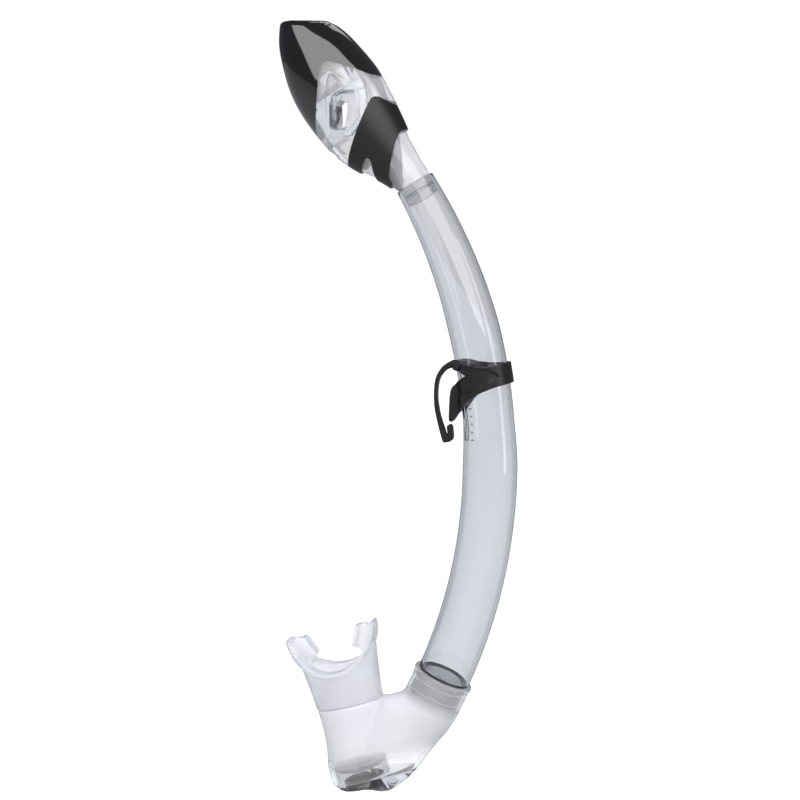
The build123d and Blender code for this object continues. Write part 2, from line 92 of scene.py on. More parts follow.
def plane(origin, upward):
    """A frame on a plane across the given upward direction: x to the bulging side, y across, z upward."""
    upward = upward.normalized()
    side = ACROSS.cross(upward)
    return Matrix((
        (side.x, ACROSS.x, upward.x, origin.x),
        (side.y, ACROSS.y, upward.y, origin.y),
        (side.z, ACROSS.z, upward.z, origin.z),
        (0, 0, 0, 1),
    ))


def bend_plane(angle):
    """A frame across the barrel at an angle round its bend."""
    outward = Vector((cos(angle), 0, sin(angle)))
    return plane(BEND_CENTRE + BEND_RADIUS * outward, Vector((-sin(angle), 0, cos(angle))))


TOP = bend_plane(radians(BARREL_TOP))
KEEPER = bend_plane(radians((BAND_LOW + BAND_HIGH) / 2))
MOUTH = plane(Vector((0, 0, 0)), MOUTH_AXIS)
SOCKET_FRAME = plane(SOCKET, SOCKET_AXIS)

# ---------------------------------------------------------------- colours and materials


def linear(code):
    """An sRGB hex colour as linear RGBA."""
    shares = [int(code[i:i + 2], 16) / 255 for i in (1, 3, 5)]
    return tuple(s / 12.92 if s <= 0.04045 else ((s + 0.055) / 1.055) ** 2.4 for s in shares) + (1.0,)


def add_node(tree, kind, settings=None, links=None):
    """Add a shader node; settings are attributes or input values, links map an input to a socket."""
    node = tree.nodes.new(kind)
    for key, value in (settings or {}).items():
        if isinstance(key, int) or key in node.inputs:
            node.inputs[key].default_value = value
        else:
            setattr(node, key, value)
    for key, socket in (links or {}).items():
        tree.links.new(socket, node.inputs[key])
    return node


def new_material(name):
    """An empty node material and its tree and output."""
    material = bpy.data.materials.new(name)
    material.use_nodes = True
    tree = material.node_tree
    tree.nodes.clear()
    output = add_node(tree, "ShaderNodeOutputMaterial")
    return material, tree, output


def grain(tree, size_mm, detail=2.0):
    """Noise on the object's own coordinates, with features of a real size."""
    place = add_node(tree, "ShaderNodeTexCoord")
    return add_node(tree, "ShaderNodeTexNoise", {
        "Scale": 1 / (size_mm * MM), "Detail": detail,
    }, {"Vector": place.outputs["Object"]})


MILK = "#f6f6f9"


def clear_material(name, tint, density, ior, roughness, ripple_mm, ripple_depth, milk=0.0, clear_ends=False):
    """A clear moulding: a polished skin with slow flow ripples over a body that absorbs a little light.

    A share of milk clouds the skin; clear_ends lowers it at the purge valve and at the socket.
    """
    material, tree, output = new_material(name)
    flow = grain(tree, ripple_mm, 3.0)
    bump = add_node(tree, "ShaderNodeBump", {
        "Strength": 0.35, "Distance": ripple_depth * MM,
    }, {"Height": flow.outputs["Fac"]})
    # The skin's colour carries painted edge shade, darker where the skin is seen edge on.
    skin = add_node(tree, "ShaderNodeBsdfPrincipled", {
        "Roughness": roughness, "IOR": ior, "Transmission Weight": 1.0,
    }, {"Base Color": cast_and_painted_edge_shade(tree, tint), "Normal": bump.outputs["Normal"]})
    surface = skin
    if milk > 0:
        cloud = add_node(tree, "ShaderNodeBsdfPrincipled", {
            "Base Color": linear(MILK), "Roughness": 0.3, "IOR": ior,
        }, {"Normal": bump.outputs["Normal"]})
        glow = add_node(tree, "ShaderNodeBsdfTranslucent", {"Color": linear(MILK)})
        both = add_node(tree, "ShaderNodeMixShader", {0: 0.35}, {1: cloud.outputs[0], 2: glow.outputs[0]})
        surface = add_node(tree, "ShaderNodeMixShader", {0: milk}, {1: skin.outputs[0], 2: both.outputs[0]})
        if clear_ends:
            share = add_node(tree, "ShaderNodeMath", {"operation": "MULTIPLY"}, {
                0: band_of(tree, Vector((0, 0, 0)), MOUTH_AXIS, -76.0, -60.0, 0.02, milk),
                1: band_of(tree, SOCKET, SOCKET_AXIS, -20.0, -12.0, 1.0, 0.3),
            })
            tree.links.new(share.outputs[0], surface.inputs[0])
    body = add_node(tree, "ShaderNodeVolumeAbsorption", {"Color": linear(tint), "Density": density})
    tree.links.new(surface.outputs[0], output.inputs["Surface"])
    tree.links.new(body.outputs[0], output.inputs["Volume"])
    return material


def band_of(tree, origin, direction, low, high, low_value, high_value):
    """A value that changes between two heights, in millimetres, along a direction from a point."""
    place = add_node(tree, "ShaderNodeTexCoord")
    offset = add_node(tree, "ShaderNodeVectorMath", {
        "operation": "SUBTRACT", 1: origin,
    }, {0: place.outputs["Object"]})
    level = add_node(tree, "ShaderNodeVectorMath", {
        "operation": "DOT_PRODUCT", 1: direction,
    }, {0: offset.outputs[0]})
    fade = add_node(tree, "ShaderNodeMapRange", {
        "From Min": low * MM, "From Max": high * MM, "To Min": low_value, "To Max": high_value,
    }, {"Value": level.outputs["Value"]})
    return fade.outputs["Result"]


def cast_and_painted_edge_shade(tree, tint):
    """Painted edge shade: white straight on, darkening to the resin's cast where the skin is seen edge on;
    partly the resin's real cast, partly painted shade standing in for the dark surroundings that its edges
    reflect.
    """
    facing = add_node(tree, "ShaderNodeLayerWeight", {"Blend": 0.5})
    ramp = add_node(tree, "ShaderNodeMapRange", {
        "From Min": 0.4, "From Max": 0.95, "interpolation_type": "SMOOTHSTEP",
    }, {"Value": facing.outputs["Facing"]})
    mix = add_node(tree, "ShaderNodeMix", {
        "data_type": "RGBA", 6: linear("#ffffff"), 7: linear(tint),
    }, {"Factor": ramp.outputs["Result"]})
    return mix.outputs[2]


def opaque_material(
    name, colour, dark, roughness, rough_span, grain_mm, depth_mm, ior=1.5, coat=0.0, metallic=0.0
):
    """An opaque moulding or metal: a fine grain that moves its colour, roughness and surface a little."""
    material, tree, output = new_material(name)
    noise = grain(tree, grain_mm, 4.0)
    shade = add_node(tree, "ShaderNodeMix", {
        "data_type": "RGBA", 6: linear(dark), 7: linear(colour),
    }, {"Factor": noise.outputs["Fac"]})
    spread = add_node(tree, "ShaderNodeMapRange", {
        "To Min": roughness - rough_span / 2, "To Max": roughness + rough_span / 2,
    }, {"Value": noise.outputs["Fac"]})
    bump = add_node(tree, "ShaderNodeBump", {
        "Strength": 0.5, "Distance": depth_mm * MM,
    }, {"Height": noise.outputs["Fac"]})
    skin = add_node(tree, "ShaderNodeBsdfPrincipled", {
        "IOR": ior, "Metallic": metallic, "Coat Weight": coat, "Coat Roughness": 0.05,
    }, {
        "Base Color": shade.outputs[2], "Roughness": spread.outputs["Result"],
        "Normal": bump.outputs["Normal"],
    })
    tree.links.new(skin.outputs[0], output.inputs["Surface"])
    return material


MATERIALS = {}


def make_materials():
    """Every finish, each named for what the real part is made of."""
    MATERIALS.update(
        # Injection-moulded polycarbonate: water-clear, with a blue-grey cast where it is seen edge on, partly
        # its real cast and partly painted edge shade.
        polycarbonate=clear_material("clear_polycarbonate", "#a3a7b4", 280.0, 1.585, 0.03, 14.0, 0.05),
        # The same resin in the dry top's thick housing, where flow lines and facets cloud it.
        housing=clear_material("clouded_polycarbonate", "#c2c9dc", 22.0, 1.585, 0.03, 5.0, 0.1, milk=0.2),
        # Plasticised PVC: milky in the chamber's walls, and clear round the purge valve.
        vinyl=clear_material(
            "clear_vinyl", "#bcc2cf", 30.0, 1.53, 0.05, 9.0, 0.06, milk=0.72, clear_ends=True
        ),
        # Liquid silicone rubber: clear and slightly cloudy.
        silicone=clear_material("clear_silicone", "#b4bbd0", 30.0, 1.41, 0.07, 6.0, 0.05, milk=0.5),
        # High-gloss ABS out of a polished tool.
        gloss_abs=opaque_material(
            "gloss_abs", "#121214", "#0e0e10", 0.08, 0.04, 18.0, 0.01, ior=1.7, coat=1.0
        ),
        # ABS from a spark-eroded tool: an even, fine satin.
        satin_abs=opaque_material("satin_abs", "#19191b", "#131315", 0.34, 0.1, 0.5, 0.015),
        # Soft thermoplastic rubber: satin, slightly waxy.
        soft_tpr=opaque_material("soft_tpr", "#19191b", "#131315", 0.36, 0.1, 0.7, 0.02),
        # Foamed polypropylene float.
        foam_pp=opaque_material("foamed_polypropylene", "#e6e7e8", "#d6d8da", 0.55, 0.1, 1.2, 0.06),
        # Pigmented silicone of the seals.
        seal_silicone=opaque_material(
            "seal_silicone", "#6c727c", "#5b616b", 0.45, 0.08, 0.8, 0.02, ior=1.41
        ),
        # Dark pigmented silicone of the purge flap.
        flap_silicone=opaque_material(
            "dark_silicone", "#3a414f", "#2c323d", 0.3, 0.08, 0.8, 0.02, ior=1.41
        ),
        # Ground stainless wire.
        steel=opaque_material(
            "ground_stainless_steel", "#b9babc", "#a3a4a7", 0.25, 0.1, 0.4, 0.004, metallic=1.0
        ),
    )


# ---------------------------------------------------------------- mesh helpers

ROUND = 112   # segments round a large form


def superellipse(angle, half_length, half_width, power):
    """A point on a rounded outline between an ellipse (power 2) and a rectangle (a large power)."""
    c, s = cos(angle), sin(angle)
    return (
        half_length * copysign(abs(c) ** (2 / power), c),
        half_width * copysign(abs(s) ** (2 / power), s),
    )


def flowing(stations, steps):
    """Stations joined by a smooth curve through each of their values."""
    rows = [stations[0], *stations, stations[-1]]
    made = []
    for a, b, c, d in zip(rows, rows[1:], rows[2:], rows[3:]):
        for step in range(steps):
            t = step / steps
            made.append(tuple(
                0.5 * (2 * q + (r - p) * t + (2 * p - 5 * q + 4 * r - s) * t * t
                       + (3 * q - p - 3 * r + s) * t ** 3)
                for p, q, r, s in zip(a, b, c, d)
            ))
    made.append(tuple(float(value) for value in stations[-1]))
    return made


def add_ring(bm, place, segments):
    """One closed ring of edges; place gives the position for an angle."""
    made = bmesh.ops.create_circle(bm, cap_ends=False, segments=segments, radius=1.0)
    for vert in made["verts"]:
        vert.co = place(atan2(vert.co.y, vert.co.x))
    return list({edge for vert in made["verts"] for edge in vert.link_edges})


def flat_ring(matrix, centre, half_length, half_width, height=0.0):
    """An elliptical ring on a frame's own plane, sizes in millimetres."""

    def place(angle):
        x, y = superellipse(angle, half_length, half_width, 2.0)
        return matrix @ Vector(((centre + x) * MM, y * MM, height * MM))

    return place


def to_object(bm, name):
    """A mesh object from a finished bmesh, with outward faces."""
    bmesh.ops.remove_doubles(bm, verts=bm.verts, dist=1e-6)
    bmesh.ops.recalc_face_normals(bm, faces=bm.faces)
    mesh = bpy.data.meshes.new(name)
    bm.to_mesh(mesh)
    bm.free()
    made = bpy.data.objects.new(name, mesh)
    bpy.context.scene.collection.objects.link(made)
    return made


def skinned(name, places, segments=ROUND, closed=False):
    """A piece skinned over a row of rings: closed round on itself, or capped at both ends."""
    bm = bmesh.new()
    rings = [add_ring(bm, place, segments) for place in places]
    pairs = list(zip(rings, rings[1:]))
    if closed:
        pairs.append((rings[-1], rings[0]))
    for first, second in pairs:
        bmesh.ops.bridge_loops(bm, edges=first + second)
    if not closed:
        for ring in (rings[0], rings[-1]):
            bmesh.ops.contextual_create(bm, geom=ring)
    return to_object(bm, name)


def applied(piece):
    """Bake a piece's modifiers into its mesh."""
    bpy.context.view_layer.update()
    shaped = bpy.data.meshes.new_from_object(piece.evaluated_get(bpy.context.evaluated_depsgraph_get()))
    piece.modifiers.clear()
    old = piece.data
    piece.data = shaped
    bpy.data.meshes.remove(old)
    return piece


def joined(piece, other, operation):
    """Union, difference or intersection of two closed pieces; the second is used up."""
    change = piece.modifiers.new(operation.lower(), "BOOLEAN")
    change.operation = operation
    change.solver = "MANIFOLD"
    change.object = other
    applied(piece)
    spare = other.data
    bpy.data.objects.remove(other)
    bpy.data.meshes.remove(spare)
    return piece


def cut(piece, other):
    """Take the second closed piece out of the first."""
    return joined(piece, other, "DIFFERENCE")


def circle(radius, x, z, count):
    """Points round a circle."""
    turns = [2 * pi * step / count for step in range(count)]
    return [(x + radius * cos(turn), z + radius * sin(turn)) for turn in turns]


def filled_outline(bm, points):
    """A flat face bounded by a closed line of points."""
    verts = [bm.verts.new(point) for point in points]
    edges = [bm.edges.new(pair) for pair in zip(verts, verts[1:] + verts[:1])]
    return bmesh.ops.contextual_create(bm, geom=edges)["faces"][0]


def prism(name, matrix, outline, low, high):
    """A slab between two depths, from an outline on a frame's own x and z, in millimetres."""
    bm = bmesh.new()
    face = filled_outline(bm, [matrix @ Vector((x * MM, low * MM, z * MM)) for x, z in outline])
    moved = bmesh.ops.extrude_face_region(bm, geom=[face])["geom"]
    shift = matrix.to_3x3() @ Vector((0, (high - low) * MM, 0))
    bmesh.ops.translate(bm, verts=[g for g in moved if isinstance(g, bmesh.types.BMVert)], vec=shift)
    return to_object(bm, name)


def side_slab(name, outline, matrix):
    """A slab from an outline, right through the object from side to side."""
    return prism(name, matrix, outline, -OUTSIDE, OUTSIDE)


def finished(piece, body, slot, material, *nodes, crease=35.0):
    """Shade, paint, and hang a finished piece on its body, in place of its construction nodes."""
    mesh = piece.data
    mesh.materials.clear()
    mesh.materials.append(material)
    mesh.shade_smooth()
    mesh.set_sharp_from_angle(angle=radians(crease))
    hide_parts(*nodes)
    if body:
        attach(piece, body)
    return piece


# ---------------------------------------------------------------- forms shared between pieces

# Stations up the dry top, in millimetres: height, front edge, rear edge, half width.
TOP_STATIONS = [
    (0, -11.35, 11.35, 11.35), (10, -16.3, 11.4, 12.2), (22, -24.8, 11.6, 14.6), (35, -31, 13, 16.6),
    (50, -34.5, 14.2, 18), (66, -36.1, 14.6, 18.2), (80, -35.3, 12.5, 17.2), (94, -31.9, 9, 15),
    (107, -27, 2.6, 11.8), (118, -19.5, -3.4, 8),
]
# The breathing duct: height, centre, half length, half width.
DUCT_STATIONS = [
    (-0.5, 0, 7.6, 7.6), (12, -0.4, 8.2, 8.6), (28, -1.2, 9.2, 10.8), (44, 2.6, 7.6, 11.8),
    (60, 6.6, 4.6, 11.4), (72, 6.6, 4.3, 11), (85, 5.2, 4.2, 10),
]
# Side outlines on the dry top's own frame, x to the rear and z up: the cap's lower edge, the collar's
# two edges, the window's two steps and the drain.
CAP_LINE = [
    (20, 58.4), (14.2, 61.3), (11.3, 63.7), (7.4, 68.7), (0.4, 76.6), (-3.2, 80.6), (-5.2, 81.9),
    (-7.2, 82.3), (-9, 81.9), (-10.4, 80.8), (-14.9, 75.2), (-22.8, 64.8), (-29, 57.3), (-32.5, 52.6),
    (-34.5, 51.6), (-42, 51.6),
]
COLLAR_LINE = [
    (20, 41), (13.5, 42.9), (11.6, 46.5), (8.8, 50.7), (7.2, 51.8), (5.6, 51.9), (4.2, 51), (1, 48.8),
    (-8.1, 42.1), (-17, 35.4), (-23.2, 30.7), (-27.8, 27.2), (-36, 21),
]
COLLAR_LOW = [
    (20, 27.6), (11.6, 28.2), (9.8, 28.4), (8.2, 27.8), (4.1, 24.2), (-1.7, 17.8), (-9, 9.8),
    (-9.9, 7.4), (-10.1, 5.4), (-11.2, 4.7), (-13.5, 4.5), (-15.4, 6.6), (-17.4, 11), (-15.4, 16.8),
    (-13, 21.5), (-12.9, 23.6), (-14, 24.9), (-15.6, 24.6), (-21.6, 21), (-24.4, 20.4), (-27, 22),
    (-36, 20.8),
]
RECESS_LINE = [
    (-8.6, 65), (-0.4, 61), (-1, 58.6), (-6.4, 47.6), (-16.2, 43.2), (-23.4, 49.4), (-16.6, 61.4),
    (-12.5, 65),
]
SHALLOW_LINE = [
    (-7.4, 75.4), (-4, 71.4), (0.9, 65), (2.3, 62), (1.2, 57.9), (-4.6, 46.4), (-15.8, 42.2),
    (-24.4, 50.3), (-15.6, 66.2), (-10, 73.4),
]
DRAIN_LINE = [
    (-12, 36), (-12.2, 24), (-10.9, 14), (-30, 14), (-40, 30), (-27, 41.5), (-17.5, 41.5),
]
# The window's slot, the lever pin's centre, and the cap's slanted top and the corner cut off behind it.
SLOT_CENTRE, SLOT_TURN = (-15.8, 53.6), radians(49.5)
SLOT_LENGTH, SLOT_WIDTH = 17.0, 7.4
PIN_X, PIN_Z = -3.0, 79.5
CAP_REAR, CAP_FRONT = (3.3, 103.9), (-21.0, 118.9)
BACK_CORNER = ((3.33, 103.86), (8.15, 96.61))
# Stations down the mouth axis: height, centre, half length, half width.
NECK_STATIONS = [
    (-36, 0, 20.2, 14.2), (-24, 0.2, 21.4, 13.6), (-14, 0.3, 22.8, 13.4), (-4, 0.3, 24.4, 13.4),
]
COLUMN_STATIONS = [
    (-36, 0, 20.2, 14.2), (-48, -0.8, 18.8, 15.2), (-60, -2.2, 18.2, 16.8), (-70, -3.4, 18.9, 18.5),
    (-79, -3.4, 18.9, 18.6), (-86, -3.4, 15, 14.8),
]
# Stations down the leg to the barrel: centre x, z, direction across it x, z, half length, half width.
LEG_STATIONS = [
    (57.77, -32.85, 0.9135, -0.4067, 17.2, 17.2), (51.2, -39.2, 0.852, -0.523, 19.2, 16.9),
    (43.6, -45.4, 0.78, -0.62, 21.0, 16.6), (28.6, -66.6, 0.92, -0.39, 20.8, 16.8),
    (23.5, -79.2, 0.995, -0.1, 18.0, 14.6), (20.5, -85.6, 0.995, -0.1, 13.0, 9.0),
]
# Half lengths and half widths of the mouth's bore, and of the sleeve that goes over the chamber's spigot.
MOUTH_BORE, SLEEVE_BORE, CHAMBER_SPIGOT = (16.4, 10.4), (18.1, 12.1), (18.05, 12.05)
# The leg's radius at the socket, the purge seat's height, and the dry top's spigot and its bore.
SOCKET_RADIUS, SEAT_HEIGHT = 17.2, -80.6
TOP_SPIGOT, TOP_BORE = 9.35, 7.6
SHELL_GAP = 0.12   # clearance between the housing and the cap and collar over it
OUTSIDE = 40.0   # a cutter's reach past the object


def top_form(name, inset):
    """The dry top's closed form, drawn in by an inset."""
    return skinned(name, [
        flat_ring(TOP, (front + rear) / 2, (rear - front) / 2 - inset, half - inset, height)
        for height, front, rear, half in flowing(TOP_STATIONS, 7)
    ])


def stack(name, matrix, stations, inset=0.0, steps=5, segments=ROUND):
    """A closed form through ellipses up a frame: height, centre, half length, half width."""
    return skinned(name, [
        flat_ring(matrix, centre, half_length - inset, half_width - inset, height)
        for height, centre, half_length, half_width in flowing(stations, steps)
    ], segments)


def turned(name, matrix, profile):
    """A solid of revolution without a bore, from (radius, height) rings."""
    return skinned(name, [flat_ring(matrix, 0, radius, radius, height) for radius, height in profile])


def ring_solid(name, matrix, section):
    """A solid of revolution with a bore, from a closed (radius, height) section."""
    bm = bmesh.new()
    verts = [bm.verts.new(matrix @ Vector((radius * MM, 0, height * MM))) for radius, height in section]
    edges = [bm.edges.new(pair) for pair in zip(verts, verts[1:] + verts[:1])]
    bmesh.ops.spin(
        bm, geom=verts + edges, cent=matrix.translation, axis=matrix.col[2].to_3d(), dvec=(0, 0, 0),
        angle=2 * pi, steps=ROUND, use_merge=True, use_normal_flip=False, use_duplicate=False,
    )
    return to_object(bm, name)


def bent_rod(name, radius, past=0.0):
    """Round rod along the bend for the keeper's band, or past both of its edges by some degrees."""
    low, high, steps = BAND_LOW - past, BAND_HIGH + past, 24
    angles = [low + (high - low) * step / steps for step in range(steps + 1)]
    return skinned(name, [flat_ring(bend_plane(radians(angle)), 0, radius, radius) for angle in angles])


def through(points):
    """A smooth open line through points."""
    return flowing(points, 6)


def softened(piece, width, angle, segments=3):
    """Round the sharp edges of a piece."""
    change = piece.modifiers.new("edges", "BEVEL")
    change.width = width * MM
    change.segments = segments
    change.limit_method = "ANGLE"
    change.angle_limit = radians(angle)
    return applied(piece)


# ---------------------------------------------------------------- barrel

RING_HEIGHTS = (-5.2, -11.8)   # the two sealing rings, on the socket's frame


def barrel_radius(size, angle):
    """Even below the middle and where the keeper slides, tapered above."""
    stops = [
        (BARREL_LOW, size.low_diameter), (0.0, size.low_diameter), (BAND_LOW, size.keeper_diameter),
        (BAND_HIGH, size.keeper_diameter), (BARREL_TOP, size.top_diameter),
    ]
    for (a, d), (b, e) in zip(stops, stops[1:]):
        if angle <= b:
            return (d + (e - d) * (angle - a) / (b - a)) / 2
    return size.top_diameter / 2


def make_barrel(size):
    """A bent tube in one skin: up the outside from the socket end, and down the bore again."""
    end = size.end_diameter / 2
    wall, low, top = size.wall, barrel_radius(size, BARREL_LOW), size.top_diameter / 2
    end_bore = end - 3.2
    outer = [(SOCKET_FRAME, -size.end_length, end - 0.5), (SOCKET_FRAME, 0.5 - size.end_length, end)]
    for centre in reversed(RING_HEIGHTS):
        outer += [(SOCKET_FRAME, centre + step, end - drop) for step, drop in (
            (-0.95, 0.0), (-0.85, 1.75), (0.85, 1.75), (0.95, 0.0),
        )]
    outer += [(SOCKET_FRAME, height, radius) for height, radius in (
        (0.2, end), (0.3, end - 0.05), (0.32, low - 0.5), (0.5, low - 0.12), (0.85, low),
    )]
    rows = 58
    span = BARREL_TOP - BARREL_LOW
    rising = [BARREL_LOW + span * row / rows for row in range(1, rows)]
    outer += [(bend_plane(radians(angle)), 0.0, barrel_radius(size, angle)) for angle in rising]
    outer += [(TOP, -0.3, top), (TOP, -0.05, top - 0.2), (TOP, 0.0, top - 0.5)]
    falling = [BARREL_TOP - span * row / rows for row in range(1, rows)]
    inner = [(TOP, 0.0, top - wall + 0.2), (TOP, -0.4, top - wall)]
    inner += [(bend_plane(radians(angle)), 0.0, barrel_radius(size, angle) - wall) for angle in falling]
    inner += [(SOCKET_FRAME, height, radius) for height, radius in (
        (1.6, low - wall), (0.9, low - wall - 0.5), (0.2, end_bore), (-size.end_length, end_bore),
    )]
    rings = [flat_ring(matrix, 0, radius, radius, height) for matrix, height, radius in outer + inner]
    barrel = skinned("barrel", rings, 128, closed=True)
    return finished(barrel, "tube", "clear_polycarbonate", MATERIALS["polycarbonate"], "barrel")


def surface_boss(name, angle, swing, along, across, lift, radius):
    """A small rounded boss on the barrel, at an angle round the bend and a swing round the barrel."""
    spot = bend_plane(radians(angle)) @ Matrix.Rotation(swing, 4, "Z")
    spot @= Matrix.Translation((radius * MM, 0, 0))
    half = along / 2
    rings = []
    for share, drop in ((1.0, -0.25), (1.0, 0.35 * lift), (0.82, 0.8 * lift), (0.5, lift)):
        def place(turn, share=share, drop=drop):
            x, y = superellipse(turn, half - across / 2 * (1 - share), across / 2 * share, 3.2)
            return spot @ Vector((drop * MM, y * MM, x * MM))
        rings.append(place)
    return skinned(name, rings, 28)


def make_index_rail(size):
    """The moulded rail and ticks that show how high the keeper is set."""
    lift, base = 0.35, size.keeper_diameter / 2 - 0.25
    rail = surface_boss("index_rail", 4.6, radians(220), size.rail_length, 3.4, lift, base)
    for step in range(5):
        tick = surface_boss("tick", 6.2 - 0.86 * step, radians(236), 0.9, 2.4, lift, base)
        joined(rail, tick, "UNION")
    return finished(rail, "tube", "clear_polycarbonate", MATERIALS["polycarbonate"])


def make_socket_rings():
    """The two soft rings that seal the barrel in the socket."""
    for number, height in enumerate(RING_HEIGHTS):
        ring = ring_solid(f"socket_ring_{number + 1}", SOCKET_FRAME, circle(0.9, 14.14, height, 20))
        finished(ring, "tube", "clear_silicone", MATERIALS["silicone"], "socket_rings")


# ---------------------------------------------------------------- dry top


def above(line, drop):
    """Side outline of everything above a line through two points, lowered by a drop."""
    start, end = (Vector(point) for point in line)
    along = (end - start).normalized()
    rise = Vector((-along.y, along.x))
    rise *= copysign(1.0, rise.y)
    near, far = start - along * 60, end + along * 60
    return [tuple(corner - rise * drop) for corner in (near, far, far + rise * 60, near + rise * 60)]


def crowned(piece, rounding):
    """Cut a piece off along the cap's slanted top and roll its wall over into the top."""
    slope = Vector((CAP_FRONT[0] - CAP_REAR[0], 0, CAP_FRONT[1] - CAP_REAR[1]))
    normal = (TOP.to_3x3() @ Vector((-slope.z, 0, slope.x))).normalized()
    normal *= copysign(1.0, normal.dot(TOP.col[2].to_3d()))
    level = TOP @ Vector((CAP_REAR[0] * MM, 0, CAP_REAR[1] * MM))
    bm = bmesh.new()
    bm.from_mesh(piece.data)
    bmesh.ops.triangulate(bm, faces=[face for face in bm.faces if len(face.verts) > 4])
    halved = bmesh.ops.bisect_plane(
        bm, geom=[*bm.verts, *bm.edges, *bm.faces], dist=1e-7, plane_co=level - normal * rounding * MM,
        plane_no=normal, clear_outer=True,
    )
    cut_verts = [g for g in halved["geom_cut"] if isinstance(g, bmesh.types.BMVert)]
    bmesh.ops.remove_doubles(bm, verts=cut_verts, dist=5e-5)
    rim = [edge for edge in bm.edges if edge.is_boundary]
    corners = {vert for edge in rim for vert in edge.verts}
    middle = sum((vert.co for vert in corners), Vector()) / len(corners)
    starts = {}
    for vert in corners:
        below = min((edge.other_vert(vert) for edge in vert.link_edges if not edge.is_boundary),
                    key=lambda other: (other.co - vert.co).normalized().dot(normal))
        rise = (vert.co - below.co).normalized()
        inward = middle - vert.co
        inward = (inward - normal * inward.dot(normal)).normalized()
        knee = vert.co + rise * min(rounding * MM / max(rise.dot(normal), 0.3), 1.6 * rounding * MM)
        knee += normal * (rounding * MM - (knee - vert.co).dot(normal))
        starts[vert] = (vert.co.copy(), knee, knee + inward * rounding * MM * 1.5)
    steps = 8
    for step in range(1, steps + 1):
        share = step / steps
        made = bmesh.ops.extrude_edge_only(bm, edges=rim)["geom"]
        rim = [g for g in made if isinstance(g, bmesh.types.BMEdge) and g.is_boundary]
        following = {}
        for vert in {vert for edge in rim for vert in edge.verts}:
            beside = [edge.other_vert(vert) for edge in vert.link_edges]
            source = next(other for other in beside if other in starts)
            foot, knee, crest = starts[source]
            following[vert] = starts[source]
            vert.co = foot * (1 - share) ** 2 + knee * 2 * share * (1 - share) + crest * share ** 2
        starts = following
    bmesh.ops.contextual_create(bm, geom=rim)
    bmesh.ops.recalc_face_normals(bm, faces=bm.faces)
    bm.to_mesh(piece.data)
    bm.free()


def make_top_cap(size):
    """The glossy shell over the top, with its slanted crown."""
    cap = top_form("top_cap", 0.0)
    joined(cap, side_slab("keep", [*CAP_LINE, (-42, 125), (20, 125)], TOP), "INTERSECT")
    crowned(cap, size.cap_round)
    cut(cap, side_slab("back_corner", above(BACK_CORNER, 0.0), TOP))
    hollow = top_form("hollow", size.cap_wall - SHELL_GAP)
    cut(hollow, side_slab("under_crown", above((CAP_REAR, CAP_FRONT), size.cap_wall + 0.4), TOP))
    cut(hollow, side_slab("under_corner", above(BACK_CORNER, size.cap_wall + 0.4), TOP))
    cut(cap, hollow)
    return finished(cap, "tube", "gloss_black", MATERIALS["gloss_abs"], "top_cap")


def make_collar(size):
    """The satin band round the dry top's waist, with its prongs."""
    collar = top_form("splash_collar", 0.0)
    joined(collar, side_slab("band", [*COLLAR_LINE, *reversed(COLLAR_LOW)], TOP), "INTERSECT")
    cut(collar, top_form("hollow", size.cap_wall - SHELL_GAP))
    softened(collar, 0.45, 48.0)
    return finished(collar, "tube", "satin_black", MATERIALS["satin_abs"], "splash_collar")


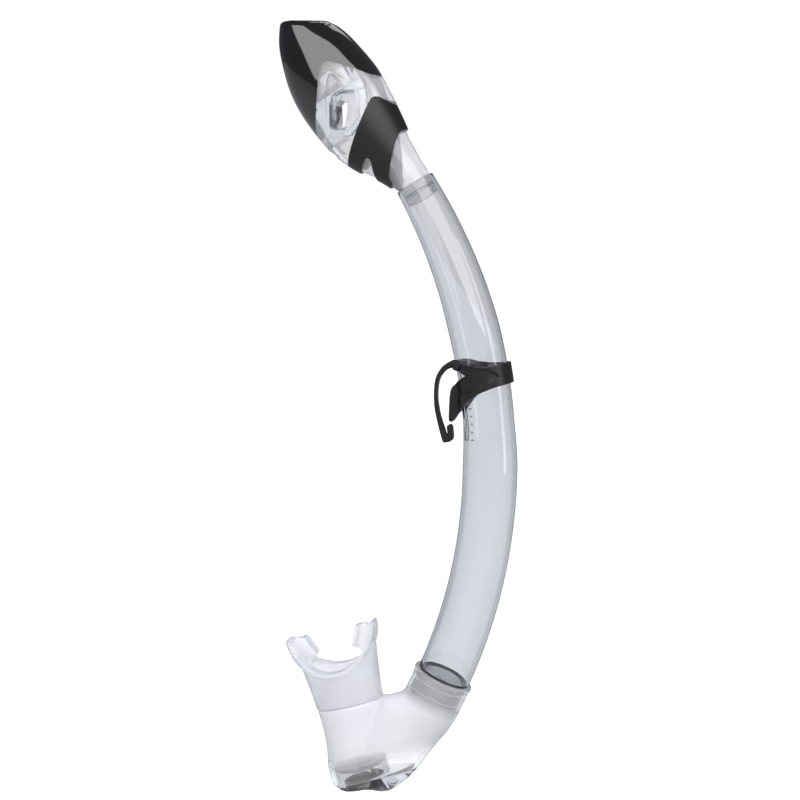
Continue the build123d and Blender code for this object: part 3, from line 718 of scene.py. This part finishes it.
def make_housing(size):
    """The clear housing: its window, slot, float room, drain, duct and spigot."""
    housing = top_form("vent_housing", size.cap_wall)
    over = [(-50, size.tower_height), (30, size.tower_height), (30, 140), (-50, 140)]
    cut(housing, side_slab("over", over, TOP))
    flush = top_form("flush", 0.0)
    joined(flush, side_slab("window", [*CAP_LINE, *reversed(COLLAR_LINE)], TOP), "INTERSECT")
    joined(housing, flush, "UNION")
    joined(housing, turned("spigot", TOP, [(TOP_SPIGOT, 0.2), (TOP_SPIGOT, -9.6), (8.9, -10)]), "UNION")
    room = top_form("room", size.cap_wall + size.room_wall)
    joined(room, side_slab("room_side", [(-40, 65.4), (0.2, 65.4), (0.2, 89), (-40, 89)], TOP), "INTERSECT")
    cut(housing, room)
    drain = top_form("drain", size.cap_wall + size.room_wall)
    joined(drain, side_slab("drain_side", DRAIN_LINE, TOP), "INTERSECT")
    cut(housing, drain)
    cut(housing, stack("duct", TOP, DUCT_STATIONS, steps=6, segments=96))
    cut(housing, turned("spigot_bore", TOP, [(TOP_BORE, 1), (TOP_BORE, -11)]))
    groove = [(8.35, -5.55), (10.4, -5.55), (10.4, -4.45), (8.35, -4.45)]
    cut(housing, ring_solid("groove", TOP, groove))
    middle = Vector((sum(x for x, z in RECESS_LINE), sum(z for x, z in RECESS_LINE))) / len(RECESS_LINE)
    for side in (-1, 1):
        bm = bmesh.new()
        loops = []
        for share, depth in ((0.84, 8.5), (1.09, 21)):
            loops += filled_outline(bm, [
                TOP @ Vector(((middle.x + (x - middle.x) * share) * MM, side * depth * MM,
                              (middle.y + (z - middle.y) * share) * MM)) for x, z in RECESS_LINE
            ]).edges
        bmesh.ops.bridge_loops(bm, edges=loops)
        cut(housing, to_object(bm, "recess"))
        near, far = sorted((side * 15.7, side * OUTSIDE))
        cut(housing, prism("shallow", TOP, SHALLOW_LINE, near, far))
    half, radius = (SLOT_LENGTH - SLOT_WIDTH) / 2, SLOT_WIDTH / 2
    slot = []
    for end in (1, -1):
        for step in range(13):
            turn = -end * pi / 2 + pi * step / 12
            x, z = end * half + radius * cos(turn), radius * sin(turn)
            slot.append((SLOT_CENTRE[0] + x * cos(SLOT_TURN) - z * sin(SLOT_TURN),
                         SLOT_CENTRE[1] + x * sin(SLOT_TURN) + z * cos(SLOT_TURN)))
    cut(housing, side_slab("slot", slot, TOP))
    inlet = [(-32.4, 66.5), (-25.8, 66.5), (-27, 35), (-32.4, 35)]
    cut(housing, prism("inlet", TOP, inlet, -5, 5))
    for side in (-1, 1):
        near, far = sorted((side * 4.4, side * 6.2))
        ear = [(0.8, PIN_Z - 3.4), (PIN_X, PIN_Z - 2.2)]
        ear += [(PIN_X - 2.2 * cos(turn), PIN_Z + 2.2 * sin(turn)) for turn in (-0.9, -0.45, 0, 0.45, 0.9)]
        ear += [(PIN_X, PIN_Z + 2.2), (0.8, PIN_Z + 2.2)]
        joined(housing, prism("ear", TOP, ear, near, far), "UNION")
    cut(housing, prism("pin_hole", TOP, circle(1.02, PIN_X, PIN_Z, 24), -8, 8))
    return finished(housing, "tube", "clear_polycarbonate", MATERIALS["housing"], "vent_housing", crease=28.0)


# ---------------------------------------------------------------- keeper

# Outline of the panel sunk into the keeper's band, on the keeper's own frame.
PANEL_LINE = [
    (11.4, -1.0), (8.6, 1.9), (4.3, 4.4), (-3.8, 7.0), (-10, 8.2), (-12.8, 5.4), (-8.3, 2.2), (-8.1, 1.2),
    (-12.3, -0.6), (-16.6, -3.4), (-16.6, -10.2), (-10.9, -7.9), (-0.1, -4.9),
]


def make_keeper(size):
    """The band with its sunk panel and tongue, and the hook."""
    bore = size.bore_diameter / 2
    outer = bore + size.band_thickness
    band = bent_rod("keeper_band", outer)
    edge = [(20, -6), (20, 5.2), (6, 5.4), *through([(2, 5.9), (-4, 7.3), (-10.5, 9.8), (-17.4, 10.9)]),
            (-17.4, 6.6), (-12, 5), (-8, 2), (-12.5, 0), (-21, -6),
            *through([(-21, -23), (-14.8, -17.3), (-6.9, -11), (7, -6.9), (20, -6)])]
    joined(band, side_slab("edge", edge, KEEPER), "INTERSECT")
    panel = side_slab("panel", PANEL_LINE, KEEPER)
    cut(panel, bent_rod("panel_floor", outer - size.panel_depth, past=2.0))
    cut(band, panel)
    tongue = [*through([(-13, -1), (-17.9, -3.6), (-20.2, -8.3), (-22.6, -19.4), (-23, -22.2)]),
              (-22.4, -23.2), *through([(-21, -23.2), (-17.6, -19.6), (-14, -15.6)]), (-13, -8)]
    joined(band, prism("tongue", KEEPER, tongue, -4.2, 4.2), "UNION")
    cut(band, bent_rod("bore", bore, past=2.0))
    softened(band, 0.4, 44.0)
    finished(band, "keeper", "soft_black", MATERIALS["soft_tpr"], "keeper_band")

    outline = [*through([(-14.5, 10.9), (-17.4, 10.7), (-22.8, 7.8), (-27.6, 1), (-30.2, -12), (-29.9, -24),
                         (-28.9, -33.2)]), (-28.4, -34.6), (-24.8, -34.6), (-23.4, -33.9), (-22.6, -32.2),
               (-22.3, -26.2), (-22.9, -25.2), (-23.8, -24.9), (-24.7, -25.2), (-25.2, -26.2), (-25.2, -30.4),
               (-26.0, -31.0), (-26.6, -29.6),
               *through([(-27.4, -25), (-28.3, -18), (-28, -8), (-25.4, 1), (-20.8, 5.8), (-17.4, 6.8),
                         (-14.5, 7.0)])]
    hook = prism("keeper_hook", KEEPER, outline, -3.1, 3.1)
    softened(hook, 0.75, 50.0, segments=4)
    finished(hook, None, "soft_black", MATERIALS["soft_tpr"], "keeper_hook")
    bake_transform(hook)


# ---------------------------------------------------------------- mouthpiece


def mouth_oval(name, halves, low, high):
    """A straight oval solid along the mouth's axis, between two heights."""
    return stack(name, MOUTH, [(low, 0, *halves), (high, 0, *halves)], steps=1)


def make_mouthpiece(size):
    """The neck, the curved bite flange and the two bite tabs."""
    centre = size.flange_height
    inner = size.flange_radius - size.flange_wall
    piece = stack("mouthpiece", MOUTH, NECK_STATIONS, steps=6, segments=128)
    half_height = size.flange_half_height
    middle, inside, outside = (
        circle(radius, 0, centre, 128) for radius in (inner + size.flange_wall / 2, inner, size.flange_radius)
    )
    cut(piece, side_slab("mouth_side", middle, MOUTH))
    plate = prism("flange", MOUTH, outside, -half_height, half_height)
    cut(plate, side_slab("flange_inside", inside, MOUTH))
    over = [(-50, centre - 2.6), (50, centre - 2.6), (50, 60), (-50, 60)]
    cut(plate, side_slab("above", over, MOUTH))
    reach = size.flange_radius + 1.6
    outline = skinned("outline", [flat_ring(MOUTH, 0, reach, half_height, level) for level in (-40, 30)], 160)
    joined(plate, outline, "INTERSECT")
    softened(plate, size.flange_wall * 0.42, 48.0, segments=5)
    joined(piece, plate, "UNION")
    cut(piece, mouth_oval("sleeve", SLEEVE_BORE, -37, -24.5))
    cut(piece, mouth_oval("bore", MOUTH_BORE, -25, 12))
    tab = ((25.2, 3), (21.5, 7.5), (15.6, 7.2), (11, -3.4), (17.8, -9.6), (21, -6))
    lip = ((17.8, 7.3), (15.6, 7.2), (11, -3.4), (12.6, -4.9))
    for side in (-1, 1):
        for name, outline, half in (("bite_tab", tab, 1.9), ("bite_lip", lip, 4.6)):
            mirrored = [(side * x, z) for x, z in outline]
            joined(piece, prism(name, MOUTH, mirrored, -half, half), "UNION")
    return finished(piece, "mouth_end", "clear_silicone", MATERIALS["silicone"], "mouthpiece")


# ---------------------------------------------------------------- purge chamber and valve

VALVE_OFFSET = -3.4   # from the mouth's axis to the purge valve's
VALVE = MOUTH @ Matrix.Translation((VALVE_OFFSET * MM, 0, 0))


def leg_form(name, inset):
    """The leg from the socket down to the chamber, drawn in by an inset."""
    radius = SOCKET_RADIUS - inset
    places = [flat_ring(SOCKET_FRAME, 0, radius, radius, height) for height in (0, -6, -12)]
    for x, z, across_x, across_z, half_length, half_width in flowing(LEG_STATIONS, 6):
        matrix = plane(Vector((x * MM, 0, z * MM)), Vector((-across_z, 0, across_x)))
        places.append(flat_ring(matrix, 0, half_length - inset, half_width - inset))
    return skinned(name, places)


def blended(piece, voxel, rounds):
    """Re-mesh a union evenly and relax it, so that its forms run into each other as a moulding does."""
    change = piece.modifiers.new("even", "REMESH")
    change.mode = "VOXEL"
    change.voxel_size = voxel * MM
    applied(piece)
    change = piece.modifiers.new("relax", "SMOOTH")
    change.factor = 0.5
    change.iterations = rounds
    return applied(piece)


def make_chamber(size):
    """The purge chamber: column and leg run together, hollowed, with rooms for the valve and the barrel."""
    wall = size.wall
    piece = stack("purge_chamber", MOUTH, COLUMN_STATIONS)
    joined(piece, leg_form("leg", 0.0), "UNION")
    ring = turned("valve_ring", VALVE, [(18.2, -71), (18.2, -80), (17.2, SEAT_HEIGHT)])
    joined(piece, ring, "UNION")
    blended(piece, 1.0, 40)
    lip = [(17.0, -3.2), (17.35, -2.6), (17.6, -1.6), (17.6, -0.4), (SOCKET_RADIUS, 0), (16, 0), (16, -3.2)]
    joined(piece, turned("socket_top", SOCKET_FRAME, [(17.0, -14), (17.0, 0)]), "UNION")
    joined(piece, ring_solid("socket_lip", SOCKET_FRAME, lip), "UNION")
    cut(piece, turned("socket_square", SOCKET_FRAME, [(25, 0.0), (25, 8)]))
    joined(piece, mouth_oval("spigot", CHAMBER_SPIGOT, -38, -24.6), "UNION")
    hollow = stack("hollow", MOUTH, COLUMN_STATIONS, inset=wall)
    joined(hollow, leg_form("leg_hollow", wall), "UNION")
    below = [(-60, SEAT_HEIGHT), (60, SEAT_HEIGHT), (60, -120), (-60, -120)]
    cut(hollow, side_slab("below_valve", below, MOUTH))
    cut(piece, hollow)
    cut(piece, mouth_oval("mouth_bore", MOUTH_BORE, -39, -10))
    cut(piece, turned("seat_room", VALVE, [(15.9, SEAT_HEIGHT), (15.9, -66)]))
    cut(piece, turned("cover_room", VALVE, [(12.3, -79.6), (12.3, -92)]))
    cut(piece, turned("socket_bore", SOCKET_FRAME, [(15.1, 1), (15.1, -19.4)]))
    return finished(piece, "mouth_end", "clear_vinyl", MATERIALS["vinyl"], "purge_chamber", crease=30.0)


# ---------------------------------------------------------------- stage

AIM = Vector((0.03927, 0, 0.14316))   # the point that the lamps and the camera face
CAMERA_AZIMUTH, CAMERA_ELEVATION, CAMERA_REACH = radians(12.0), radians(6.5), 1.131


def seen_or_through(tree, path):
    """A value that is 1 for what the camera sees directly or through clear parts, from a light path."""
    return add_node(tree, "ShaderNodeMath", {"operation": "MAXIMUM"}, {
        0: path.outputs["Is Camera Ray"], 1: path.outputs["Is Transmission Ray"],
    }).outputs[0]


def make_world():
    """A world that is white to the camera, bright to matt parts and dim to polished ones."""
    world = bpy.data.worlds.new("studio")
    bpy.context.scene.world = world
    world.use_nodes = True
    tree = world.node_tree
    tree.nodes.clear()
    output = add_node(tree, "ShaderNodeOutputWorld")
    path = add_node(tree, "ShaderNodeLightPath")
    seen = seen_or_through(tree, path)
    dim = add_node(tree, "ShaderNodeMapRange", {
        "To Min": 1.25, "To Max": 0.12,
    }, {"Value": path.outputs["Is Glossy Ray"]})
    fill = add_node(tree, "ShaderNodeBackground", {
        "Color": linear("#eceef2"),
    }, {"Strength": dim.outputs["Result"]})
    sweep = add_node(tree, "ShaderNodeBackground", {"Color": (1, 1, 1, 1), "Strength": 1.0})
    mix = add_node(tree, "ShaderNodeMixShader", {}, {0: seen, 1: fill.outputs[0], 2: sweep.outputs[0]})
    tree.links.new(mix.outputs[0], output.inputs["Surface"])


def make_floor():
    """White paper under the object, which keeps its shadow."""
    floor_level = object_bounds()[0][2] - 0.06
    bm = bmesh.new()
    bmesh.ops.create_grid(bm, x_segments=2, y_segments=2, size=6.0)
    bmesh.ops.translate(bm, verts=bm.verts, vec=(0, 0, floor_level))
    mesh = bpy.data.meshes.new("floor")
    bm.to_mesh(mesh)
    bm.free()
    floor = bpy.data.objects.new("floor", mesh)
    bpy.context.scene.collection.objects.link(floor)
    material, tree, output = new_material("matt_white_paper")
    seen = seen_or_through(tree, add_node(tree, "ShaderNodeLightPath"))
    glow = add_node(tree, "ShaderNodeMath", {"operation": "MULTIPLY", 1: 0.85}, {0: seen})
    fibre = grain(tree, 3.0)
    tone = add_node(tree, "ShaderNodeMapRange", {
        "To Min": 0.29, "To Max": 0.31,
    }, {"Value": fibre.outputs["Fac"]})
    paper = add_node(tree, "ShaderNodeBsdfDiffuse", {}, {"Color": tone.outputs["Result"]})
    lift = add_node(tree, "ShaderNodeEmission", {"Color": (1, 1, 1, 1)}, {"Strength": glow.outputs[0]})
    both = add_node(tree, "ShaderNodeAddShader", {}, {0: paper.outputs[0], 1: lift.outputs[0]})
    tree.links.new(both.outputs[0], output.inputs["Surface"])
    mesh.materials.append(material)
    floor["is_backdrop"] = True


def softbox(name, direction, distance, size, size_y, power):
    """A rectangular lamp that faces the object."""
    data = bpy.data.lights.new(name, "AREA")
    data.shape = "RECTANGLE"
    data.size = size
    data.size_y = size_y
    data.energy = power
    lamp = bpy.data.objects.new(name, data)
    bpy.context.scene.collection.objects.link(lamp)
    lamp.location = AIM + direction.normalized() * distance
    lamp.rotation_euler = direction.to_track_quat("Z", "Y").to_euler()


def make_camera():
    """The camera, a little above the object and to its bulging side."""
    azimuth, elevation = CAMERA_AZIMUTH, CAMERA_ELEVATION
    back = Vector((sin(azimuth) * cos(elevation), -cos(azimuth) * cos(elevation), sin(elevation)))
    data = bpy.data.cameras.new("camera")
    data.sensor_width = 36.0
    data.lens = 89.1
    data.clip_start = 0.01
    camera = bpy.data.objects.new("camera", data)
    bpy.context.scene.collection.objects.link(camera)
    camera.location = AIM + back * CAMERA_REACH
    camera.rotation_euler = back.to_track_quat("Z", "Y").to_euler()
    bpy.context.scene.camera = camera


def make_stage():
    """White world and floor, soft lamps and the camera."""
    make_world()
    make_floor()
    softbox("key_softbox", Vector((0.16, -0.85, 0.6)), 1.25, 2.6, 1.0, 19.0)
    softbox("side_softbox", Vector((1.0, -0.25, 0.2)), 1.3, 0.3, 1.0, 2.5)
    softbox("top_softbox", Vector((0.1, 0.5, 1.0)), 1.3, 0.6, 0.6, 2.0)
    make_camera()
    bpy.context.scene.view_settings.view_transform = "Standard"


def paint(node_name, material):
    """Give a construction node its finish."""
    mesh = frame["nodes"][node_name].data
    mesh.materials.clear()
    mesh.materials.append(material)


# ---------------------------------------------------------------- add-on


def length(name, millimetres, text):
    """A length property, kept in metres."""
    return bpy.props.FloatProperty(
        name=name, description=text, default=millimetres * MM, min=0.0, unit="LENGTH", subtype="DISTANCE",
        precision=4,
    )


def in_millimetres(group):
    """A property group's lengths, in millimetres."""
    return SimpleNamespace(**{key: round(getattr(group, key) / MM, 5) for key in group.__annotations__})


class BarrelSizes(bpy.types.PropertyGroup):
    """Sizes of the clear barrel"""

    low_diameter: length("Low diameter", 31.2, "Outside diameter below the middle")
    keeper_diameter: length("Keeper diameter", 29.1, "Outside diameter where the keeper slides")
    top_diameter: length("Top diameter", 22.7, "Outside diameter where the barrel meets the dry top")
    wall: length("Wall", 1.6, "Thickness of the barrel's wall")
    end_diameter: length("End diameter", 30.0, "Diameter of the straight end that turns in the socket")
    end_length: length("End length", 18.0, "Length of the straight end that turns in the socket")
    rail_length: length("Rail length", 20.0, "Length of the moulded rail that shows the keeper's height")


class DryTopSizes(bpy.types.PropertyGroup):
    """Sizes of the dry top"""

    cap_wall: length("Cap wall", 1.6, "Thickness of the cap and of the splash collar")
    cap_round: length("Cap edge", 3.0, "Rounding of the cap's crown")
    room_wall: length("Room wall", 1.4, "Wall between the float's room and the cap")
    tower_height: length("Tower height", 84.0, "Height of the clear housing above the barrel's end")


class KeeperSizes(bpy.types.PropertyGroup):
    """Sizes of the mask-strap keeper"""

    bore_diameter: length("Bore", 29.8, "Bore that slides along the barrel")
    band_thickness: length("Band thickness", 1.75, "Thickness of the band round the barrel")
    panel_depth: length("Panel depth", 1.1, "Depth of the panel sunk between the two ribs")


class MouthpieceSizes(bpy.types.PropertyGroup):
    """Sizes of the silicone mouthpiece"""

    flange_radius: length("Flange radius", 27.2, "Radius the bite flange is curved to")
    flange_wall: length("Flange wall", 2.2, "Thickness of the bite flange")
    flange_height: length("Flange centre", 10.0, "Height of the flange's centre of curvature over the bite")
    flange_half_height: length("Flange half height", 17.5, "Half the flange's height, from lips to gums")


class ChamberSizes(bpy.types.PropertyGroup):
    """Sizes of the purge chamber"""

    wall: length("Wall", 2.3, "Thickness of the chamber's wall")


class SNORKEL_OT_materials(bpy.types.Operator):
    """Make every finish of the snorkel"""

    bl_idname = "snorkel.materials"
    bl_label = "Make Finishes"

    def execute(self, context):
        make_materials()
        return {"FINISHED"}


class SNORKEL_OT_barrel(bpy.types.Operator):
    """Model the bent barrel, its index rail and its two sealing rings"""

    bl_idname = "snorkel.barrel"
    bl_label = "Build Barrel"

    def execute(self, context):
        size = in_millimetres(context.scene.snorkel_barrel)
        make_barrel(size)
        make_index_rail(size)
        make_socket_rings()
        return {"FINISHED"}


class SNORKEL_OT_dry_top(bpy.types.Operator):
    """Model the clear vent housing, the black cap and the splash collar"""

    bl_idname = "snorkel.dry_top"
    bl_label = "Build Dry Top"

    def execute(self, context):
        size = in_millimetres(context.scene.snorkel_dry_top)
        make_housing(size)
        make_top_cap(size)
        make_collar(size)
        return {"FINISHED"}


class SNORKEL_OT_float_valve(bpy.types.Operator):
    """Finish the float valve inside the dry top"""

    bl_idname = "snorkel.float_valve"
    bl_label = "Finish Float Valve"

    def execute(self, context):
        for node_name, material in (
            ("port_plate", "polycarbonate"), ("float_lever", "polycarbonate"), ("vent_float", "foam_pp"),
            ("valve_seal", "seal_silicone"), ("dry_top_oring", "silicone"), ("lever_pin", "steel"),
        ):
            paint(node_name, MATERIALS[material])
        return {"FINISHED"}


class SNORKEL_OT_keeper(bpy.types.Operator):
    """Model the soft keeper and its springy hook"""

    bl_idname = "snorkel.keeper"
    bl_label = "Build Keeper"

    def execute(self, context):
        make_keeper(in_millimetres(context.scene.snorkel_keeper))
        return {"FINISHED"}


class SNORKEL_OT_mouthpiece(bpy.types.Operator):
    """Model the silicone mouthpiece with its bite tabs"""

    bl_idname = "snorkel.mouthpiece"
    bl_label = "Build Mouthpiece"

    def execute(self, context):
        make_mouthpiece(in_millimetres(context.scene.snorkel_mouthpiece))
        return {"FINISHED"}


class SNORKEL_OT_chamber(bpy.types.Operator):
    """Model the purge chamber and finish its valve"""

    bl_idname = "snorkel.chamber"
    bl_label = "Build Purge Chamber"

    def execute(self, context):
        make_chamber(in_millimetres(context.scene.snorkel_chamber))
        paint("purge_seat", MATERIALS["polycarbonate"])
        paint("purge_membrane", MATERIALS["flap_silicone"])
        paint("purge_cover", MATERIALS["satin_abs"])
        return {"FINISHED"}


class SNORKEL_OT_stage(bpy.types.Operator):
    """Set the white stage, the lamps and the camera"""

    bl_idname = "snorkel.stage"
    bl_label = "Set Stage"

    def execute(self, context):
        make_stage()
        return {"FINISHED"}


class SNORKEL_PT_sidebar(bpy.types.Panel):
    """Sizes and build steps of the snorkel"""

    bl_label = "Snorkel"
    bl_idname = "SNORKEL_PT_sidebar"
    bl_space_type = "VIEW_3D"
    bl_region_type = "UI"
    bl_category = "Snorkel"

    def draw(self, context):
        for step, group in STEPS:
            box = self.layout.box()
            if group:
                sizes = getattr(context.scene, group)
                for key in sizes.__annotations__:
                    box.prop(sizes, key)
            box.operator(step.bl_idname)


GROUPS = {
    "snorkel_barrel": BarrelSizes,
    "snorkel_dry_top": DryTopSizes,
    "snorkel_keeper": KeeperSizes,
    "snorkel_mouthpiece": MouthpieceSizes,
    "snorkel_chamber": ChamberSizes,
}
STEPS = (
    (SNORKEL_OT_materials, None),
    (SNORKEL_OT_barrel, "snorkel_barrel"),
    (SNORKEL_OT_dry_top, "snorkel_dry_top"),
    (SNORKEL_OT_float_valve, None),
    (SNORKEL_OT_keeper, "snorkel_keeper"),
    (SNORKEL_OT_mouthpiece, "snorkel_mouthpiece"),
    (SNORKEL_OT_chamber, "snorkel_chamber"),
    (SNORKEL_OT_stage, None),
)
CLASSES = (*GROUPS.values(), *(step for step, group in STEPS), SNORKEL_PT_sidebar)


def register():
    for item in CLASSES:
        bpy.utils.register_class(item)
    for name, group in GROUPS.items():
        setattr(bpy.types.Scene, name, bpy.props.PointerProperty(type=group))


def unregister():
    for name in GROUPS:
        delattr(bpy.types.Scene, name)
    for item in reversed(CLASSES):
        bpy.utils.unregister_class(item)


def main():
    register()
    bpy.ops.snorkel.materials()
    bpy.ops.snorkel.barrel()
    bpy.ops.snorkel.dry_top()
    bpy.ops.snorkel.float_valve()
    bpy.ops.snorkel.keeper()
    bpy.ops.snorkel.mouthpiece()
    bpy.ops.snorkel.chamber()
    bpy.ops.snorkel.stage()


if __name__ == "__main__":
    main()
